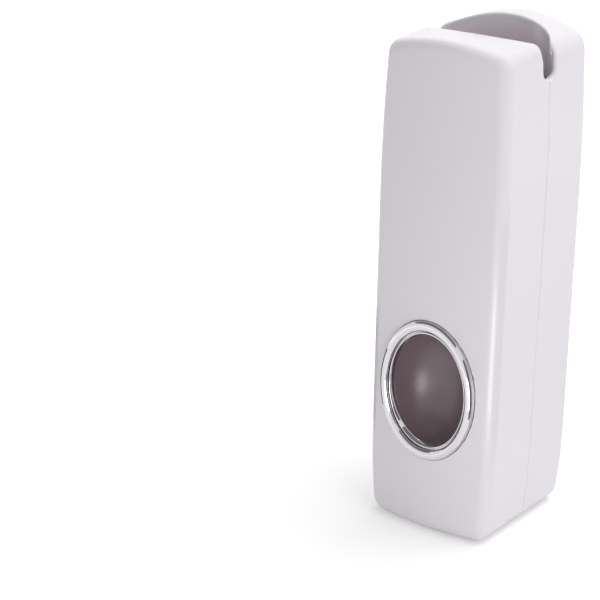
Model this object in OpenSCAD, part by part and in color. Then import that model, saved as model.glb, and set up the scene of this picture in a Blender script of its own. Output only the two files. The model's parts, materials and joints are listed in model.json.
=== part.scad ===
// Toothpaste dispenser: a two-part housing, a chrome-ringed brush port and a
// lever pump that squeezes a soft hose below the toothpaste tube.
// Millimetres, +Z up, front towards -Y, origin at the middle of the foot.
// Inside the modules y runs from 0 at the front corners of the housing to
// housing_d at its back, and seated() moves that frame onto the origin.

/* [Housing] */
// Width of the housing at its widest
housing_w = 54; // [52:0.5:60]
// Depth from the front corners to the back
housing_d = 54.4; // [53:0.2:60]
// Height that the deck is measured from, near the front corners
housing_h = 179.9; // [174:0.1:190]
// Thickness of the walls
wall = 2.4; // [2:0.1:2.8]
// Thickness of the floor
floor_t = 2.6; // [2:0.1:4]
// Thickness of the deck round the opening
deck_t = 2.6; // [2:0.1:4]
// How far the front face bows forward
front_bow = 3.1; // [2:0.1:3.6]
// Distance of the seam between the shells behind the front corners
seam_y = 27.4; // [26:0.1:29]
// How far the deck domes up across its width at the front
dome_h = 4.8; // [1:0.1:5]
// How far the deck's straight edge at the slots lies above housing_h
deck_rise = 3.2; // [2:0.1:4]
// How far the back of the deck domes up across its width
back_dome = 7.2; // [4:0.1:8]
// Rounding of the upright edges
edge_r = 4; // [3:0.1:5]
// Rounding of the edge round the deck
rim_r = 3.4; // [2:0.1:4]
// Rounding of the edge round the foot
foot_r = 6; // [3:0.1:7]
// How far each side draws in at the top
draw_top = 2; // [0:0.1:2.5]
// How far each side draws in at the foot
draw_foot = 2.2; // [0:0.1:2.5]
// Height below which the sides draw in to the foot
straight_lo = 32; // [20:1:40]
// Height above which the sides draw in to the top
straight_hi = 127; // [110:1:150]

/* [Opening] */
// Depth of the deck in front of the opening
deck_d = 23.3; // [22:0.1:24]
// Width of the two slots for the flat end of the tube
slot_w = 6.4; // [6:0.1:7]
// Depth of the slots below the side walls' top
slot_depth = 9.9; // [6:0.1:14]
// Half width of the rounded opening behind the slots
mouth_rx = 23.4; // [20:0.1:24]
// Depth of the rounded opening behind its middle
mouth_ry = 15.4; // [14:0.1:18]
// Distance of the opening's middle behind the front corners
mouth_y = 26; // [25:0.1:27]
// Thickness of the wall that hangs from the deck round the opening
collar_t = 1.8; // [1.2:0.1:2.4]
// Rounding of the deck's edge where it turns into the slots
lip_r = 4; // [1:0.1:5]

/* [Brush port] */
// Height of the middle of the port
port_z = 56.3; // [52:0.1:58]
// Half height of the ring
ring_rz = 27; // [26:0.1:28]
// Width of the ring's oval over its height
ring_ratio = 0.736; // [0.7:0.002:0.78]
// Width of the ring's outer band, measured at its top
ring_band = 4.4; // [3:0.1:4.6]
// Width of the ring's inner lip, measured at its top
ring_lip = 1.5; // [1:0.1:2]
// How far the ring stands in front of the housing
ring_proud = 1.6; // [1:0.1:2.5]
// Depth of the cup
cup_depth = 15.4; // [12:0.1:16]
// Thickness of the cup
cup_t = 1.6; // [1.2:0.1:2]

/* [Lever] */
// Distance of the lever's pin behind the front corners
pin_y = 21; // [20.6:0.1:22]
// Height of the lever's pin
pin_z = 86.4; // [86:0.1:87]
// Diameter of the lever's pin
pin_d = 3; // [2.4:0.1:3.4]
// Radius of the lever's hub
hub_r = 4.2; // [3.6:0.1:4.4]
// Thickness of the lever's arms
arm_t = 2.8; // [2.2:0.1:3]
// Width of the lever's arms
arm_w = 14; // [10:0.5:16]
// Radius of the pad that squeezes the hose
pad_r = 3; // [2.4:0.1:3.4]
// Radius of the return spring to the middle of its wire
spring_r = 4; // [3.6:0.1:4.6]
// Diameter of the return spring's wire
spring_wire = 0.9; // [0.7:0.1:1.1]
// Turns of the return spring
spring_turns = 6; // [4:1:7]
// Height of the return spring
spring_z = 66.4; // [65.4:0.1:68]

/* [Pump] */
// Distance of the nozzle behind the front corners
nozzle_y = 6.6; // [6.4:0.1:7.2]
// Height of the nozzle's elbow
nozzle_z = 87.6; // [87.4:0.1:88]
// Height of the nozzle's tip
tip_z = 77.4; // [77.2:0.1:78]
// Distance of the tube's neck behind the front corners
seat_y = 29.4; // [29.2:0.1:30]
// Lean of the hose away from upright
hose_tilt = 32; // [31:0.5:33]
// Outer diameter of the hose
hose_d = 12; // [11:0.1:12.4]
// Wall of the hose
hose_t = 1.5; // [1.2:0.1:1.8]
// Distance from the nozzle's elbow to where the pad presses the hose
press_s = 18; // [17:0.1:19]
// Diameter of the bore for the tube's neck
neck_d = 11.4; // [10:0.1:13]
// Length of the bore for the tube's neck
neck_l = 9; // [7:0.5:11]

/* [Bracket] */
// Inner width between the bracket's cheeks
cheek_gap = 26.4; // [26:0.2:28]
// Thickness of the bracket's plates
plate_t = 2.4; // [2:0.1:2.8]
// Distance of the bracket's screws from the middle
ear_x = 19.4; // [19:0.1:20]

/* [Fasteners] */
// Distance of the housing's screws from the middle
screw_x = 21.3; // [21.2:0.1:21.6]
// Height of the lower pair of the housing's screws
screw_lo_z = 15.4; // [14:0.1:17]
// How far the upper pair of the housing's screws lies above the nozzle's elbow
screw_rise = 18.8; // [17.4:0.1:20]
// Diameter of the screws
screw_d = 2.4; // [2:0.1:2.6]
// Diameter of the screws' heads
head_d = 5; // [4.6:0.1:5.2]

/* [Wall hook] */
// Width of the wall plate's body
hook_w = 27.2; // [24:0.2:28]
// Height of the wall plate
hook_h = 53.7; // [50:0.1:56]
// Thickness of the wall plate
hook_t = 2.6; // [2.2:0.1:2.8]
// Height of the wall plate's lower edge
hook_z = 74.4; // [73:0.1:76]
// How far the housing lifts to come off the plate
hook_travel = 18; // [17:0.5:19]
// Height of each tab and rail
hook_tab = 16; // [12:0.5:16]
// Thickness of the adhesive pad
pad_t = 0.8; // [0.5:0.1:1.5]
// Margin of the plate beside the adhesive pad
pad_side = 2; // [1:0.5:4]
// Margin of the plate above and below the adhesive pad
pad_end = 4; // [2:0.5:8]
// Width of the hollow in the wall plate
hollow_w = 12; // [8:0.5:14]
// Height of the hollow in the wall plate
hollow_h = 10; // [8:0.5:12]

/* [Fits] */
// Gap between faces of pieces that move past each other
gap = 0.3; // [0.2:0.05:0.4]
// Radial clearance of a running pin in its bore
run = 0.05; // [0.03:0.01:0.08]
// Radial clearance of a seated piece in its bore
seat_fit = 0.1; // [0.05:0.01:0.15]

/* [Hidden] */
$fn = 48;
eps = 0.01;
over = 1;

slot_y = deck_d + slot_w / 2;
slot_floor = housing_h - slot_depth;
hook_front = housing_d - hook_t - 0.2;
back_end = hook_front + hook_t + pad_t;
ring_crest = -front_bow - ring_proud;
y_shift = -(ring_crest + back_end) / 2;
top_reach = housing_h + back_dome + 10;

// Seat of the ring in the front shell and the cup behind it
ring_seat_y = -0.8;
seat_flange = 1.2;
flange_back = ring_seat_y + 2.4;
bore_rz = ring_rz - 2.2;
spigot_t = 0.8;
lip_rz = ring_rz - ring_band - ring_lip;
cup_y = ring_seat_y + gap + 0.1;
cup_rz = lip_rz + 0.4;
rim_rz = cup_rz + cup_t;
cup_back = cup_y + cup_depth + cup_t;

// Hose frame: its local z runs up the hose, its local y points back and down
hose_l = (seat_y - nozzle_y) / sin(hose_tilt);
elbow_z = nozzle_z + hose_l * cos(hose_tilt);
hose_r = hose_d / 2;
spigot_r = hose_r - hose_t - seat_fit;
bore_r = 2.4;
nozzle_ball = hose_r - 1;
seat_ball = hose_r - 0.4;
hose_lo = nozzle_ball + 0.4;
hose_hi = hose_l - seat_ball - 0.2;
spigot_l = 4.6;
band_w = 2.2;
band_t = 0.6;

// Tube seat heights
carrier_z = elbow_z + seat_ball - 3.2;
flange_z = carrier_z + plate_t;
flange_t = 1.6;
clamp_t = 1.8;
seat_stack = plate_t + flange_t + clamp_t;
pocket_z = flange_z + 1;
neck_z = pocket_z + 1.6;
seat_top = neck_z + neck_l + 4;
seat_wall = 3.3;
flange_w = 8;
funnel_w = 7;
flare_l = 3;
body_r = neck_d / 2 + seat_wall;
flange_r = body_r + flange_w;
funnel_r = body_r + funnel_w;

// Nozzle heights
shelf_z = nozzle_z - 5.2;
barrel_r = 4.2;
barrel_end = tip_z + 2.4;
valve_r = 3.5;
valve_flange = 0.8;
outlet_bill = [1.7, 1.4];
inlet_flange = 1.5;
inlet_bill = [2.3, 3];

// Lever
hub_l = cheek_gap - 2.8;
washer_t = 1;
pin_r = pin_d / 2;
arm_back = cup_back + 0.2 + arm_t;
press_face = hose_r + gap + pad_r;
bumper_t = 1.5;
stop_face = press_face + arm_t + gap;
spring_room = 16;
bar_y = arm_back + spring_room;
cheek_t = plate_t;

// Heights of the tabs that line up the two shells
tab_zs = [46.4, 142.4];
tab_h = 12;

// Height of the upper housing screws, and how deep the screws bite into the front shell
screw_hi_z = nozzle_z + screw_rise;
screw_bite = 10;

module seated() translate([0, y_shift, 0]) children();

// Draws a profile given as (y, z) and extrudes it across the width
module across(w) rotate([90, 0, 90]) translate([0, 0, -w / 2]) linear_extrude(w) children();

// A cylinder along x, about the point (y, z)
module cross_pin(y, z, r, l) translate([0, y, z]) rotate([0, 90, 0]) cylinder(r = r, h = l, center = true);

// A cylinder along y, from y0 to y1
module post(x, z, r, y0, y1) translate([x, y0, z]) rotate([-90, 0, 0]) cylinder(r = r, h = y1 - y0);

// An oval cylinder along y round the port's middle
module oval(rz, y0, y1)
    translate([0, y0, port_z]) scale([ring_ratio, 1, 1]) rotate([-90, 0, 0]) cylinder(r = rz, h = y1 - y0);

module along_hose() translate([0, nozzle_y, nozzle_z]) rotate([-hose_tilt, 0, 0]) children();

function hose_point(y, z) = [
    nozzle_y + y * cos(hose_tilt) + z * sin(hose_tilt),
    nozzle_z + z * cos(hose_tilt) - y * sin(hose_tilt)
];

// Housing form

function half_w(z) =
    let (low = max(0, (straight_lo - z) / straight_lo),
         high = max(0, (z - straight_hi) / (housing_h - straight_hi)))
    housing_w / 2 - draw_foot * low * low - draw_top * high * high;

// The deck is domed along the front and straight along the slots. The back of it is domed throughout.
function deck_z(front, x, y) =
    let (dome = 1 - pow(x / (housing_w / 2 - 1), 2), s = y / deck_d)
    housing_h + (front ? dome_h * dome * (1 - s) + deck_rise * s : 0.6 + back_dome * dome);

// Plan of the front half at a height, inset by i and ending at y_end
function front_plan(z, i, y_end, corner_n, bow_n) =
    let (a = half_w(z) - i,
         r = max(edge_r - i, 1),
         lean = atan(2 * front_bow * (a - r) / (a * a)),
         edge_x = a - r + r * sin(lean),
         face_y = function (x) i - front_bow * (1 - pow(x / a, 2)),
         mid_y = face_y(edge_x) + r * cos(lean),
         turn = (90 - lean) / corner_n)
    concat(
        [[a, y_end]],
        [for (j = [0:corner_n]) [a - r + r * cos(j * turn), mid_y - r * sin(j * turn)]],
        [for (j = [1:bow_n - 1]) let (x = edge_x * (1 - 2 * j / bow_n)) [x, face_y(x)]],
        [for (j = [corner_n:-1:0]) [-a + r - r * cos(j * turn), mid_y - r * sin(j * turn)]],
        [[-a, y_end]]
    );

// Plan of the back half at a height, inset by i and starting at y_end
function back_plan(z, i, y_end, corner_n, edge_n) =
    let (a = half_w(z) - i, r = max(edge_r - i, 1), y = housing_d - i - r, turn = 90 / corner_n)
    concat(
        [[-a, y_end]],
        [for (j = [0:corner_n]) [-a + r - r * cos(j * turn), y + r * sin(j * turn)]],
        [for (j = [1:edge_n - 1]) [(a - r) * (2 * j / edge_n - 1), y + r]],
        [for (j = [corner_n:-1:0]) [a - r + r * cos(j * turn), y + r * sin(j * turn)]],
        [[a, y_end]]
    );

function half_plan(front, z, i, y_end, corner_n, bow_n) =
    front ? front_plan(z, i, y_end, corner_n, bow_n) : back_plan(z, i, y_end, corner_n, bow_n);

// Rings of a half, from the foot to the deck. Each is a plan, its height and a scale towards the seam.
function low_ring(front, z, i, y_end, cn, bn) =
    [for (p = half_plan(front, z, i, y_end, cn, bn)) [p.x, p.y, z]];

function high_ring(front, q, i, drop, y_end, cn, bn) =
    [for (p = half_plan(front, straight_hi + q * (housing_h - straight_hi), i, y_end, cn, bn))
        [p.x, p.y, straight_hi + q * (deck_z(front, p.x, p.y) - drop - straight_hi)]];

function deck_ring(front, s, i, drop, y_end, cn, bn) =
    [for (p = half_plan(front, housing_h, i, y_end, cn, bn))
        let (x = p.x * s, y = y_end + (p.y - y_end) * s)
        [x, y, deck_z(front, x, y) - drop]];

// Closes a stack of rings into a solid, with a point at the top
module loft(rings, tip) {
    n = len(rings[0]);
    m = len(rings);
    polyhedron(
        points = concat([for (r = rings) each r], [tip]),
        faces = concat(
            [[for (i = [n - 1:-1:0]) i]],
            [for (k = [0:m - 2], i = [0:n - 1])
                let (a = k * n + i, b = k * n + (i + 1) % n)
                each [[a, b, b + n], [a, b + n, a + n]]],
            [for (i = [0:n - 1]) [n * m, (m - 1) * n + i, (m - 1) * n + (i + 1) % n]]
        )
    );
}

module outer_half(front) {
    cn = 5;
    bn = 10;
    step = 18;
    loft(
        concat(
            [for (a = [0:step:90])
                low_ring(front, foot_r * (1 - cos(a)), foot_r * (1 - sin(a)), seam_y, cn, bn)],
            [for (k = [1:3]) low_ring(front, foot_r + k * (straight_lo - foot_r) / 3, 0, seam_y, cn, bn)],
            [low_ring(front, straight_hi, 0, seam_y, cn, bn)],
            [for (q = [0.25:0.25:1]) high_ring(front, q, 0, rim_r, seam_y, cn, bn)],
            [for (a = [step:step:90])
                deck_ring(front, 1, rim_r * (1 - cos(a)), rim_r * (1 - sin(a)), seam_y, cn, bn)],
            [for (s = [0.8:-0.2:0.2]) deck_ring(front, s, rim_r, 0, seam_y, cn, bn)]
        ),
        [0, seam_y, deck_z(front, 0, seam_y)]
    );
}

module inner_half(front) {
    cn = 2;
    bn = 6;
    y_end = seam_y + (front ? over : -over);
    loft(
        [
            low_ring(front, floor_t, wall + 2.2, y_end, cn, bn),
            low_ring(front, floor_t + 3.6, wall, y_end, cn, bn),
            low_ring(front, straight_lo, wall, y_end, cn, bn),
            low_ring(front, straight_hi, wall, y_end, cn, bn),
            high_ring(front, 0.5, wall, rim_r, y_end, cn, bn),
            high_ring(front, 1, wall, rim_r, y_end, cn, bn),
            deck_ring(front, 0.97, wall, deck_t, y_end, cn, bn),
            deck_ring(front, 0.6, wall, deck_t, y_end, cn, bn),
            deck_ring(front, 0.3, wall, deck_t, y_end, cn, bn)
        ],
        [0, y_end, deck_z(front, 0, y_end) - deck_t]
    );
}

// The slots through both side walls, joined by the deck's straight edge
module slot_cut() {
    r = slot_w / 2;
    cross_pin(slot_y, slot_floor + r, r, housing_w + 2 * over);
    translate([-housing_w / 2 - over, deck_d, slot_floor + r])
        cube([housing_w + 2 * over, slot_w, top_reach - slot_floor - r]);
}

// What lies between the deck's edge and a rounding of radius r that turns it down into the slots
module lip_profile(r, w)
    across(w)
        difference() {
            translate([deck_d - r, -r]) square([r + over, r + 12]);
            translate([deck_d - r, -r]) circle(r);
        }

// Rounds the deck's edge. At each side the rounding turns with the rim and tapers off.
module lip_cut() {
    rim_x = half_w(housing_h) - rim_r;
    translate([0, 0, deck_z(true, 0, deck_d)]) lip_profile(lip_r, 2 * housing_w);
    for (side = [-1, 1], tilt = [20, 40, 60])
        translate([side * rim_x, 0, deck_z(true, rim_x, deck_d) - rim_r])
            rotate([0, side * tilt, 0])
                translate([0, 0, rim_r])
                    lip_profile(lip_r * cos(tilt), rim_r);
}

// The rounded opening behind the slots, grown by a wall, from a height up
module mouth(grow, z0)
    translate([0, mouth_y, z0])
        scale([(mouth_rx + grow) / (mouth_ry + grow), 1, 1])
            cylinder(r = mouth_ry + grow, h = top_reach - z0);

module screw_holes(y0, y1, r)
    for (x = [-screw_x, screw_x], z = [screw_lo_z, screw_hi_z])
        post(x, z, r, y0, y1);

post_r = screw_d / 2 + 2.4;
ear_zs = [nozzle_z + 6, carrier_z - 1];
ear_y = 6;

module front_shell() color("whitesmoke") seated() {
    boss_r = screw_d / 2 + 2;
    difference() {
        union() {
            difference() {
                outer_half(true);
                inner_half(true);
            }
            oval(ring_rz + seat_flange, ring_seat_y - 0.1, flange_back);
            screw_holes(wall - 1, seam_y, post_r);
            for (x = [-ear_x, ear_x], z = ear_zs)
                post(x, z, boss_r, wall - 2, ear_y);
        }
        oval(ring_rz + seat_fit, ring_crest - over, ring_seat_y);
        oval(bore_rz, ring_crest - over, flange_back + over);
        slot_cut();
        lip_cut();
        screw_holes(seam_y - screw_bite - 2, seam_y + over, screw_d / 2 + 0.05);
        for (x = [-ear_x, ear_x], z = ear_zs)
            post(x, z, screw_d / 2 + 0.05, 1.4, ear_y + over);
    }
}

hook_half = hook_w / 2;
tab_w = 1.5;
tab_t = 1.3;
pocket_y = hook_front - gap;
pocket_half = hook_half + tab_w + gap;
pocket_lo = hook_z - hook_travel - 2 * gap;
pocket_hi = hook_z + hook_h + gap;
rail_zs = [hook_z, hook_z + 2 * hook_tab + 4];
tunnel_y = seam_y + 4;

module back_shell() color("white") seated() {
    tunnel_r = head_d / 2 + 0.4;
    difference() {
        union() {
            difference() {
                outer_half(false);
                inner_half(false);
            }
            // Thicker wall behind the hook's pocket
            translate([-pocket_half - 2, pocket_y - 2, pocket_lo - 2])
                cube([2 * pocket_half + 4, housing_d - wall / 2 - pocket_y + 2, pocket_hi - pocket_lo + 4]);
            screw_holes(seam_y, housing_d - wall / 2, tunnel_r + 1.2);
            // Wall that hangs from the deck round the opening
            intersection() {
                outer_half(false);
                mouth(collar_t, slot_floor - 2);
            }
            // Tabs that reach over the seam and line up the two shells
            for (side = [-1, 1], z = tab_zs) {
                inner = side * (min(half_w(z), half_w(z + tab_h)) - wall - gap);
                translate([min(inner, inner - side * 1.8), seam_y - 4, z])
                    cube([1.8, 8, tab_h]);
                translate([side > 0 ? inner - 1.8 : inner - 1, seam_y, z])
                    cube([2.8, 4, tab_h]);
            }
        }
        // Pocket with gaps that let the plate's tabs in, and rails that hold them
        difference() {
            translate([-pocket_half, pocket_y, pocket_lo])
                cube([2 * pocket_half, housing_d - pocket_y + over, pocket_hi - pocket_lo]);
            for (side = [-1, 1], z = rail_zs)
                translate([side > 0 ? hook_half + gap : -pocket_half - eps, hook_front + tab_t + gap, z])
                    cube([tab_w + eps, housing_d - hook_front, hook_tab]);
        }
        screw_holes(tunnel_y, housing_d + over, tunnel_r);
        screw_holes(seam_y - over, tunnel_y + over, screw_d / 2 + 0.3);
        slot_cut();
        mouth(0, slot_floor - 2 - over);
    }
}

// Chrome ring: a convex outer band, a groove and a thin inner lip, drawn as a radius and a height
module bezel_ring() color("silver") seated() {
    band_mid = ring_rz - ring_band / 2;
    band_rise = 1.5;
    crest_h = ring_seat_y - ring_crest;
    lip_mid = lip_rz + ring_lip / 2;
    translate([0, ring_seat_y, port_z])
        rotate([90, 0, 0])
            resize([2 * ring_rz * ring_ratio, 2 * ring_rz, 0])
                rotate_extrude($fn = 40)
                    union() {
                        translate([ring_rz - ring_band, 0]) square([ring_band, crest_h - band_rise]);
                        translate([band_mid, crest_h - band_rise])
                            polygon([for (a = [0:22.5:180]) [ring_band / 2 * cos(a), band_rise * sin(a)]]);
                        translate([lip_rz, 0]) square([ring_lip + eps, crest_h - 2.4]);
                        translate([lip_mid, crest_h - 2.4])
                            polygon([for (a = [0:45:180]) [ring_lip / 2 * cos(a), ring_lip / 2 * sin(a)]]);
                        translate([bore_rz - seat_fit - spigot_t, -2.2])
                            square([spigot_t, 2.2 + eps]);
                    }
}

// Dark cup that the brush pushes: an oval bowl with a rounded rim and an open roof under the nozzle
module push_cup() color([0.36, 0.31, 0.33]) seated() {
    outer_depth = cup_depth + cup_t;
    difference() {
        union() {
            translate([0, cup_y, port_z])
                rotate([-90, 0, 0])
                    resize([2 * rim_rz * ring_ratio, 2 * rim_rz, 0])
                        rotate_extrude($fn = 40)
                            polygon(concat(
                                [for (a = [0:11.25:90]) [rim_rz * cos(a), outer_depth * sin(a)]],
                                [for (a = [90:-11.25:0]) [cup_rz * cos(a), cup_depth * sin(a)]]
                            ));
            // Boss that the lever's screw holds
            post(0, port_z, 4, cup_back - 1, cup_back + 0.2);
        }
        translate([0, nozzle_y, tip_z - 10]) cylinder(r1 = 3, r2 = 7, h = 20);
        post(0, port_z, screw_d / 2 + 0.05, cup_back - 1.4, cup_back + over);
    }
}

module cup_screw() color("silver") seated() {
    post(0, port_z, screw_d / 2, cup_back - 1.2, arm_back + eps);
    post(0, port_z, head_d / 2, arm_back, arm_back + 1.6);
}

// Lever: hub on the pin, a lower arm to the cup and an upper arm to the pad
module lever_arm() color("gainsboro") seated() {
    low = hose_point(press_face, press_s - 4);
    high = hose_point(press_face, press_s + 4);
    high_back = hose_point(press_face + arm_t, press_s + 4);
    low_back = hose_point(press_face + arm_t, press_s - 4);
    arm_front = cup_back + 0.2;
    difference() {
        union() {
            cross_pin(pin_y, pin_z, hub_r, hub_l);
            across(arm_w)
                polygon([
                    [pin_y - 2.4, pin_z], low, high, high_back, low_back, [pin_y + 3, pin_z]
                ]);
            across(arm_w)
                polygon([
                    [arm_front, port_z - 5], [arm_front, pin_z - 12], [pin_y - 3, pin_z],
                    [pin_y + 3, pin_z], [arm_back, pin_z - 8], [arm_back, port_z - 5]
                ]);
            // Rib down the back of the lower arm, and the peg inside the spring
            across(2)
                polygon([
                    [arm_back - 1, pin_z - 16], [pin_y + 1, pin_z], [pin_y + 4, pin_z],
                    [arm_back + 2.2, pin_z - 9], [arm_back - 1, pin_z - 14]
                ]);
            post(0, spring_z, spring_r - spring_wire, arm_back - 1, arm_back + 3);
        }
        cross_pin(pin_y, pin_z, pin_r + run, hub_l + over);
        post(0, port_z, screw_d / 2 + 0.1, arm_front - over, arm_back + over);
    }
}

// Half-round silicone pad on the front of the upper arm
module press_pad() color("dimgray") seated()
    along_hose()
        translate([0, press_face, press_s])
            intersection() {
                rotate([0, 90, 0]) cylinder(r = pad_r, h = arm_w - 2, center = true);
                translate([-arm_w, -pad_r - over, -2 * pad_r]) cube([2 * arm_w, pad_r + over, 4 * pad_r]);
            }

clip_x = cheek_gap / 2 + cheek_t + gap;
clip_t = 0.6;
clip_rim = 1.8;
clip_mouth = 1.8;

module lever_pin() color("silver") seated()
    difference() {
        cross_pin(pin_y, pin_z, pin_r, 2 * (clip_x + clip_t + 1));
        for (side = [-1, 1])
            translate([side * (clip_x + clip_t / 2), 0, 0])
                difference() {
                    cross_pin(pin_y, pin_z, pin_r + over, clip_t + 0.1);
                    cross_pin(pin_y, pin_z, pin_r - 0.4, clip_t + 0.2);
                }
    }

module pin_clips() color("darkgray") seated()
    for (side = [-1, 1])
        translate([side * (clip_x + clip_t / 2), 0, 0])
            difference() {
                cross_pin(pin_y, pin_z, pin_r + clip_rim, clip_t);
                cross_pin(pin_y, pin_z, pin_r - 0.3, clip_t + over);
                translate([-clip_t, pin_y, pin_z - clip_mouth / 2]) cube([2 * clip_t, 3 * pin_r, clip_mouth]);
            }

module hub_washers() color("ivory") seated()
    for (side = [-1, 1])
        translate([side * (hub_l / 2 + 0.2 + washer_t / 2), 0, 0])
            difference() {
                cross_pin(pin_y, pin_z, hub_r - 0.6, washer_t);
                cross_pin(pin_y, pin_z, pin_r + run, washer_t + over);
            }

// Return spring: one wire swept along a helix between the lever and the bracket's bar
module return_spring() color("lightsteelblue") seated() {
    steps = 8 * spring_turns;
    sides = 6;
    length = bar_y - arm_back - spring_wire - 0.2;
    start = arm_back + 0.1 + spring_wire / 2;
    rise = length / steps;
    slope = atan(rise * 8 / (2 * PI * spring_r));
    points = [
        for (k = [0:steps], j = [0:sides - 1])
            let (turn = 45 * k,
                 a = 360 * j / sides,
                 r = spring_r + spring_wire / 2 * cos(a),
                 up = spring_wire / 2 * sin(a))
            [
                r * cos(turn) + up * sin(slope) * sin(turn),
                start + rise * k + up * cos(slope),
                spring_z + r * sin(turn) - up * sin(slope) * cos(turn)
            ]
    ];
    polyhedron(
        points = points,
        faces = concat(
            [[for (j = [0:sides - 1]) j]],
            [for (k = [0:steps - 1], j = [0:sides - 1])
                let (a = k * sides + j, b = k * sides + (j + 1) % sides)
                each [[a, b + sides, b], [a, a + sides, b + sides]]],
            [[for (j = [sides - 1:-1:0]) steps * sides + j]]
        )
    );
}

module lever_bumper() color("dimgray") seated()
    along_hose()
        translate([-arm_w / 2, stop_face, press_s - 3]) cube([arm_w, bumper_t, 6]);

// Bracket behind the port: two cheeks, the anvil, the shelves and the spring bar
module pump_frame() color("lightgray") seated() {
    bar_top = spring_z + 4.5;
    span = cheek_gap + 2 * cheek_t;
    difference() {
        union() {
            for (side = [-1, 1])
                translate([side * (cheek_gap + cheek_t) / 2, 0, 0]) {
                    across(cheek_t)
                        hull() {
                            translate([pin_y, pin_z]) circle(5, $fn = 32);
                            translate([5.6, shelf_z + 1.5]) circle(3, $fn = 32);
                            translate([6.2, carrier_z - 1]) circle(3, $fn = 32);
                            translate([seat_y + 5, carrier_z - 1]) circle(3, $fn = 32);
                            translate([seat_y + 5, carrier_z - 20]) circle(3, $fn = 32);
                        }
                    across(cheek_t)
                        hull() {
                            translate([pin_y, pin_z]) circle(5, $fn = 32);
                            translate([bar_y + 1, spring_z]) circle(4.5, $fn = 32);
                        }
                }
            // Bar behind the return spring with its peg
            translate([-span / 2, bar_y, spring_z - 4.5]) cube([span, plate_t, 9]);
            post(0, spring_z, spring_r - spring_wire, bar_y - 3, bar_y + 1);
            // Anvil in front of the hose and stop behind the lever
            along_hose() {
                translate([-span / 2, -hose_r - gap - plate_t, hose_lo + band_w + 0.8])
                    cube([span, plate_t, hose_hi - hose_lo - 2 * band_w - 1.6]);
                translate([-span / 2, stop_face + bumper_t, press_s - 3])
                    cube([span, plate_t, 6]);
            }
            // Shelf that carries the nozzle
            translate([-span / 2, 2.6, shelf_z]) cube([span, 9.6, 2]);
            // Carrier of the tube seat
            translate([0, seat_y, carrier_z]) cylinder(r = flange_r + 0.4, h = plate_t);
            translate([-span / 2, 3.2, carrier_z]) cube([span, seat_y - 3.2, plate_t]);
            // Ears for the screws into the front shell
            for (side = [-1, 1], z = ear_zs)
                translate([side > 0 ? span / 2 - 1 : -ear_x - 3.2, ear_y, z - 3.2])
                    cube([ear_x + 3.2 - span / 2 + 1, plate_t, 6.4]);
        }
        cross_pin(pin_y, pin_z, pin_r + seat_fit / 2, span + over);
        translate([0, nozzle_y, shelf_z - over]) cylinder(r = barrel_r + seat_fit, h = 4);
        translate([0, seat_y, carrier_z - over]) cylinder(r = body_r + seat_fit, h = plate_t + 2 * over);
        for (x = [-ear_x, ear_x], z = ear_zs)
            post(x, z, screw_d / 2 + 0.2, ear_y - over, ear_y + plate_t + over);
        seat_screw_places() translate([0, 0, -over]) cylinder(r = screw_d / 2, h = plate_t + 2 * over);
    }
}

module frame_screws() color("silver") seated()
    for (x = [-ear_x, ear_x], z = ear_zs) {
        post(x, z, screw_d / 2, 1.6, ear_y + plate_t + eps);
        post(x, z, head_d / 2, ear_y + plate_t, ear_y + plate_t + 1.6);
    }

// Places on the carrier of the screws through the seat ring
module seat_screw_places()
    for (a = [30, 150, 270])
        translate([(flange_r - 2.6) * cos(a), seat_y + (flange_r - 2.6) * sin(a), carrier_z]) children();

module squeeze_tube() color([0.86, 0.88, 0.9]) seated()
    along_hose()
        difference() {
            translate([0, 0, hose_lo]) cylinder(r = hose_r, h = hose_hi - hose_lo);
            translate([0, 0, hose_lo - over]) cylinder(r = hose_r - hose_t, h = hose_hi - hose_lo + 2 * over);
        }

module hose_clips() color("gray") seated()
    along_hose()
        for (z = [hose_lo + 0.4, hose_hi - band_w - 0.4])
            translate([0, 0, z])
                difference() {
                    cylinder(r = hose_r + 0.02 + band_t, h = band_w);
                    translate([0, 0, -over]) cylinder(r = hose_r + 0.02, h = band_w + 2 * over);
                }

// Elbow on the shelf: a spigot up into the hose and a barrel down to the tip
module nozzle() color("white") seated()
    difference() {
        union() {
            translate([0, nozzle_y, nozzle_z]) sphere(nozzle_ball);
            along_hose() {
                cylinder(r = spigot_r, h = hose_lo + spigot_l);
                translate([0, 0, nozzle_ball - 1.6]) cylinder(r = spigot_r + hose_t, h = 2);
            }
            translate([0, nozzle_y, barrel_end]) cylinder(r = barrel_r, h = nozzle_z - barrel_end);
            translate([0, nozzle_y, shelf_z + 2]) cylinder(r = barrel_r + 0.5, h = 1.2);
        }
        translate([0, nozzle_y, nozzle_z]) sphere(bore_r);
        along_hose() cylinder(r = bore_r, h = hose_lo + spigot_l + over);
        translate([0, nozzle_y, barrel_end - over]) cylinder(r = bore_r, h = nozzle_z - barrel_end + over);
    }

// Cap on the barrel's end that clamps the outlet valve
module nozzle_tip() color("whitesmoke") seated()
    translate([0, nozzle_y, tip_z])
        difference() {
            union() {
                cylinder(r1 = 3, r2 = 4.9, h = 3);
                translate([0, 0, 3]) cylinder(r = 4.9, h = 1.4);
            }
            translate([0, 0, -over]) cylinder(r = 1.9, h = 5);
            translate([0, 0, barrel_end - tip_z - valve_flange])
                cylinder(r = valve_r + seat_fit, h = valve_flange + eps);
            translate([0, 0, barrel_end - tip_z]) cylinder(r = barrel_r + seat_fit, h = 4);
        }

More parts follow.
